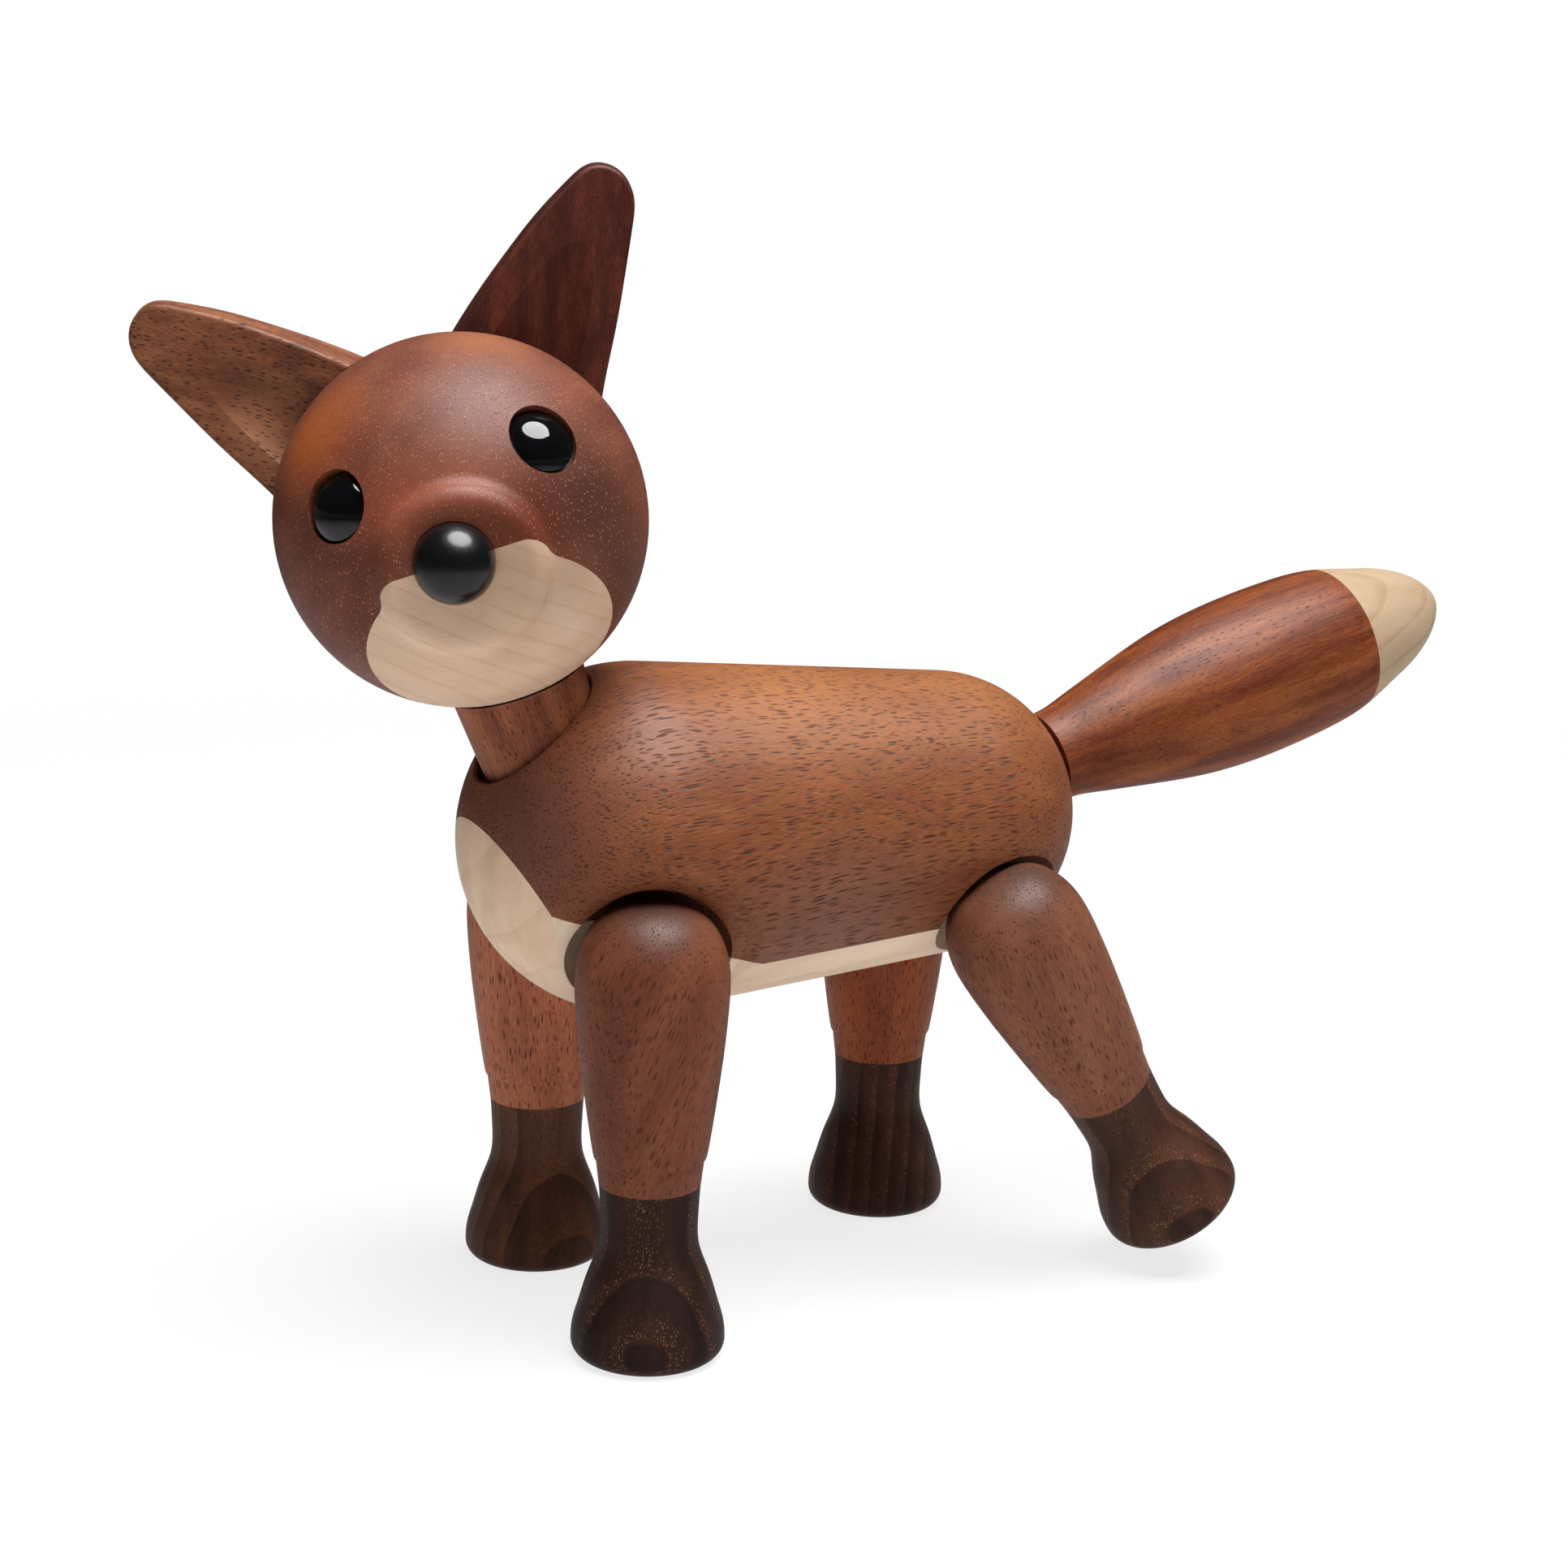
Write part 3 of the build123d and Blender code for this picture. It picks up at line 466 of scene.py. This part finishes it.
# Muzzle: the pale lower part of ball and snout, of maple. The block is dowelled and glued
# on along an oblique joint before the ball is turned, so that the two run flush.
finish(
    "maple_muzzle", ["muzzle"],
    maple(on_head(18, 2, -14), left_way * 0.74 + nose_way * 0.1 - up_way * 0.67, (0, 0, 0),
          shaded(maple_tones, 0.98, 0.91, 0.93), side=nose_way, pith=(-60, 12), spacing=3.3,
          line=0.16, sway=0.8,
          # Painted shade: two darker, warmer patches on the snout, below the nose and on its left
          # side.
          painted_light_and_shade=[
              (on_head(28, 6, -4), 13, (0.40, 0.250, 0.155), 0.6),
              (on_head(24, 16, -5), 13, (0.38, 0.235, 0.150), 0.6),
          ]),
    Specular_IOR_Level=wood_shine,
)

# Nose: a small turned ball of wood, lacquered satin black and let into the flat end of the
# snout, where a dowel holds it.
def lacquer(wire):
    peel = cloud(in_wood(wire, on_head(31, 0, 1), (0, 0, 1)), 0.9, 0.9)
    colour = peel.ramp([(0.3, (0.0035, 0.0037, 0.0042)), (0.7, (0.0050, 0.0053, 0.0060))])
    return colour, 0.19 + peel * 0.05, peel * 0.05


finish("nose_black", ["nose"], lacquer)

# Eyes: two domed buttons, polished glossy black. Their shanks are glued in round sockets
# on either side of the face.
def polish(wire):
    haze = cloud(in_wood(wire, head_middle, (0, 0, 1)), 2.5, 2.5)
    colour = haze.ramp([(0.3, (0.0020, 0.0021, 0.0026)), (0.7, (0.0026, 0.0028, 0.0036))])
    return colour, 0.045 + haze * 0.02, haze * 0.02


finish("eye_black", ["eye_left", "eye_right"], polish, IOR=1.6)

# Ears: carved mahogany leaves with a scooped front, dowelled and glued on the ball. The
# right one is cut across the figure, so that its pores stand in rows like bricks, and the
# left one is darker and redder.
ear_right_tones = [
    (0.15, (0.108, 0.035, 0.021)),
    (0.50, (0.194, 0.067, 0.032)),
    (0.85, (0.310, 0.116, 0.054)),
]
finish(
    "mahogany_ear_right", ["ear_right"],
    mahogany(
        on_head(-6, -28, 26), left_way * -0.89 + up_way * 0.45, (0, 3, 7), ear_right_tones,
        side=nose_way, pore=(0.95, 0.24), share=0.34, ribbon=(12, 3), ribbon_amount=0.5,
        # Painted light: a pale patch near the ear's root. Painted shade: a dark patch higher up
        # the ear.
        painted_light_and_shade=[
            (on_head(-4, -26, 24), 10, (0.40, 0.17, 0.080), 0.8),
            (on_head(-4, -28.5, 35), 10, (0.13, 0.035, 0.014), 0.7),
        ],
    ),
    Specular_IOR_Level=wood_shine,
)
ear_left_tones = [
    (0.15, (0.037, 0.006, 0.004)),
    (0.50, (0.067, 0.013, 0.007)),
    (0.85, (0.118, 0.026, 0.012)),
]
finish(
    "mahogany_ear_left", ["ear_left"],
    mahogany(
        on_head(-6, 28, 26), left_way * 0.35 + up_way, (0, 13, 2), ear_left_tones,
        side=nose_way, pore=(0.7, 0.20), share=0.22, ribbon=(20, 4), ribbon_amount=0.6,
    ),
    Specular_IOR_Level=wood_shine,
)

# Legs: mahogany turned with the grain down the leg, each hung on a dowel at the hip. The
# front left one is cut aslant. The right ones, and the right feet, have lighter tones to
# make up for the shade that they stand in.
leg_tones = [
    (0.15, (0.084, 0.022, 0.013)),
    (0.50, (0.149, 0.044, 0.021)),
    (0.85, (0.227, 0.077, 0.036)),
]
upright = (0, 1, 0.01)
hip_side, front_hip, hind_hip, hip_height = 0.02485, -0.052585, 0.017315, 0.06357
legs = {
    "front_left": (
        Vector((hip_side, front_hip, hip_height)), (0.16, 0.32, 0.93), (0, 0, 0),
        (1.1, 1.1, 1.08),
    ),
    "front_right": (
        Vector((-hip_side, front_hip, hip_height)), (0, -0.03, 1), (9, 17, 4),
        (2.8, 3.0, 3.2),
    ),
    "hind_left": (
        Vector((hip_side, hind_hip, hip_height)), (0.06, -0.45, 0.88), (4, 31, 12),
        (1.2, 1.4, 1.5),
    ),
    "hind_right": (
        Vector((-hip_side, hind_hip, hip_height)), (0, 0.05, 1), (2, 7, 33),
        (1.9, 1.65, 1.3),
    ),
}
for name, (hip, grain, shift, shade) in legs.items():
    crown = hip + Vector((0.004 if hip.x > 0 else -0.004, -0.002, 0.013))
    finish(
        "mahogany_leg_" + name, ["leg_" + name],
        mahogany(
            hip, grain, shift, shaded(leg_tones, *shade), side=upright,
            pore=(1.7, 0.25), share=0.30, ribbon=(40, 6), ribbon_amount=0.3,
            fleck=(grain, 0.17, lambda wire, place=crown: spot(wire, place, 15)),
            # The dark patch on each crown is partly the wood's tone and partly painted shade
            # under the rim of the body's pocket.
            painted_light_and_shade=[(crown, 14, (0.052, 0.024, 0.017), 0.85)],
        ),
        Specular_IOR_Level=wood_shine,
    )

# Feet: walnut, dowelled and glued below each leg and turned with it. The flare cuts the
# growth rings into pointed arches.
foot_tones = [
    (0.10, (0.013, 0.006, 0.004)),
    (0.45, (0.037, 0.016, 0.010)),
    (0.90, (0.081, 0.035, 0.017)),
]
ring_spacing = 3.4
golden_colour = (0.30, 0.155, 0.055, 1)
foot_pore_colour = (0.012, 0.006, 0.005, 1)


def walnut(middle, grain, shift, tones, side, pith):
    """Colour, roughness and relief of a walnut piece with growth rings about its pith."""

    def made(wire):
        at = swayed(in_wood(wire, middle, grain, side, shift), 16, 1.6)
        from_pith = at.vector("SUBTRACT", at, (0, *pith))
        ring = at.vector("LENGTH", at.vector("MULTIPLY", from_pith, (0, 1, 1))) / ring_spacing
        ring = ring.math("FRACT", ring)
        ring = ring * ring.ease(0.93, 1.0, 1.0, 0.0)
        broad = cloud(at, 30, 4, detail=2.0)
        fine = cloud(at, 6.0, 0.24, detail=3.0, roughness=0.6)
        tone = 0.20 + ring * 0.30 + (broad - 0.5) * 0.6 + (fine - 0.5) * 0.45
        colour = tone.ramp(tones)
        golden = dashes(at, 0.34, 0.20, 0.30) * ring.ease(0.35, 0.9)
        colour = colour.blend(golden_colour, golden * 0.55)
        hollow = dashes(at, 1.0, 0.22, 0.24)
        colour = colour.blend(foot_pore_colour, hollow * 0.7)
        gloss = 0.50 + (fine - 0.5) * 0.12
        return colour, gloss, fine * 0.3 - hollow

    return made


# The right feet are painted lighter to make up for the shade they stand in, and the lifted left
# foot is lighter too, partly its wood and partly painted light.
for name, foot_grain, pith, shade in (
    ("front_left", (0.02, 0.05, 1), (-21, 14), (0.80, 0.68, 0.66)),
    ("front_right", (0.02, 0.05, 1), (-24, 4), (3.6, 3.2, 3.1)),
    ("hind_left", (0.06, -0.45, 0.88), (10, 24), (1.75, 1.5, 1.35)),
    ("hind_right", (0.02, 0.05, 1), (-12, -20), (1.8, 1.6, 1.6)),
):
    hip, _, shift, _ = legs[name]
    finish(
        "walnut_foot_" + name, ["foot_" + name],
        walnut(hip, foot_grain, shift, shaded(foot_tones, *shade), side=upright, pith=pith),
        Specular_IOR_Level=wood_shine,
    )

# Tail: mahogany turned like a skittle, striped with orange and dark ribbons. It turns on a
# dowel in the rump.
tail_way = (0, 0.95882, 0.284015)
tail_tones = [
    (0.12, (0.080, 0.015, 0.006)),
    (0.45, (0.159, 0.036, 0.010)),
    (0.85, (0.282, 0.080, 0.021)),
]
finish(
    "mahogany_tail", ["tail"],
    mahogany(
        (0, 0.055, 0.105), tail_way, (11, 3, 21), tail_tones, side=(1, 0, 0),
        pore=(1.0, 0.20), share=0.22, ribbon=(48, 3.6), ribbon_amount=0.55, sway=2.2,
    ),
    Specular_IOR_Level=wood_shine,
)

# Tail tip: maple, dowelled and glued to the end of the tail and turned with it to a blunt
# point.
tip_tones = [
    (0.0, (0.337, 0.218, 0.125)),
    (0.45, (0.433, 0.310, 0.198)),
    (0.85, (0.476, 0.359, 0.250)),
]
finish(
    "maple_tip", ["tail_tip"],
    maple((0, 0.11, 0.12), tail_way, (0, 0, 0), tip_tones, side=(1, 0, 0),
          pith=(30, 26), spacing=5.0, line=0.3),
    Specular_IOR_Level=wood_shine,
)


# Dowels: plain beech pins, hidden in their bores. Those of the hips and the tail turn in
# the body, and the others are glued at both ends.
def beech(wire):
    at = in_wood(wire, (0, 0, 0.06), (0.1, 1, 0.1))
    fine = cloud(at, 5.0, 0.25, detail=3.0)
    ray = dashes(at, 0.9, 0.2, 0.24)
    colour = fine.ramp([(0.25, (0.46, 0.30, 0.18)), (0.75, (0.68, 0.49, 0.32))])
    return colour.blend((0.30, 0.16, 0.08, 1), ray * 0.5), 0.55 + fine * 0.1, fine - ray


dowels = sorted(name for name in nodes if "dowel" in name)
finish("beech", dowels, beech, Specular_IOR_Level=wood_shine)


# Friction rings: small dull black rubber rings in grooves of the turning dowels and of the
# neck's tenon. They keep a joint where it is put.
def rubber(wire):
    dust = cloud(in_wood(wire, (0, 0, 0.06), (0, 0, 1)), 0.4, 0.4)
    colour = dust.ramp([(0.3, (0.012, 0.012, 0.012)), (0.7, (0.03, 0.03, 0.03))])
    return colour, 0.68 + dust * 0.04, dust


rings = sorted(name for name in nodes if "ring" in name)
finish("rubber", rings, rubber)
